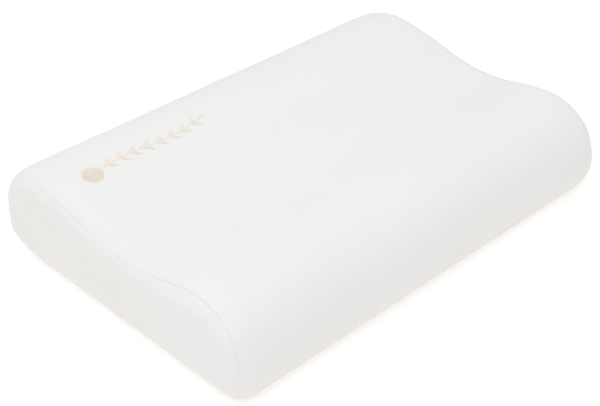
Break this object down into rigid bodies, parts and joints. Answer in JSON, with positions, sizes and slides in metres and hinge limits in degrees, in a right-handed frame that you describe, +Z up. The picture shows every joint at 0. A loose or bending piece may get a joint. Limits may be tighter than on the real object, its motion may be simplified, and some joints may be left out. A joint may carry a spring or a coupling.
{
  "type": "contour bed pillow",
  "caption": "Wave-shaped foam bed pillow with a high and a low lobe, in a white knitted zip-off cover.",
  "frame": {"origin": "on the underside, below the middle of the pillow", "axes": "+X along the pillow to its right end, -Y towards the low front lobe, +Y towards the high back lobe and its zip, +Z up"},
  "size_m": [0.6, 0.4152, 0.1244],
  "materials": {
    "foam": "matte",
    "liner_jersey": "matte",
    "cover_knit": "matte",
    "zip_tape": "matte",
    "zip_nylon": "satin",
    "zip_enamel": "satin",
    "label_satin": "satin",
    "embroidery_thread": "satin"
  },
  "bodies": {
    "pillow": {"foam_core": "foam", "liner_wrap": "liner_jersey", "liner_end_left": "liner_jersey", "liner_end_right": "liner_jersey", "cover_wrap": "cover_knit", "cover_end_left": "cover_knit", "cover_end_right": "cover_knit", "zip_tape_upper": "zip_tape", "zip_tape_lower": "zip_tape", "zip_coil_upper": "zip_nylon", "zip_coil_lower": "zip_nylon", "zip_top_stop_upper": "zip_enamel", "zip_top_stop_lower": "zip_enamel", "zip_bottom_stop": "zip_enamel", "care_label": "label_satin", "embroidered_sprig": "embroidery_thread"},
    "slider": {"zip_slider": "zip_enamel"},
    "pull_tab": {"zip_pull_tab": "zip_enamel"}
  },
  "joints": [
    {"name": "zip_travel", "type": "slide", "parent": "pillow", "child": "slider", "axis": [-1, 0, 0], "range_m": [0, 0.4793]},
    {"name": "pull_tab_swing", "type": "hinge", "parent": "slider", "child": "pull_tab", "pos_m": [0.23965, 0.20805, 0.047], "axis": [0, 0, -1], "range_deg": [0, 180]}
  ]
}
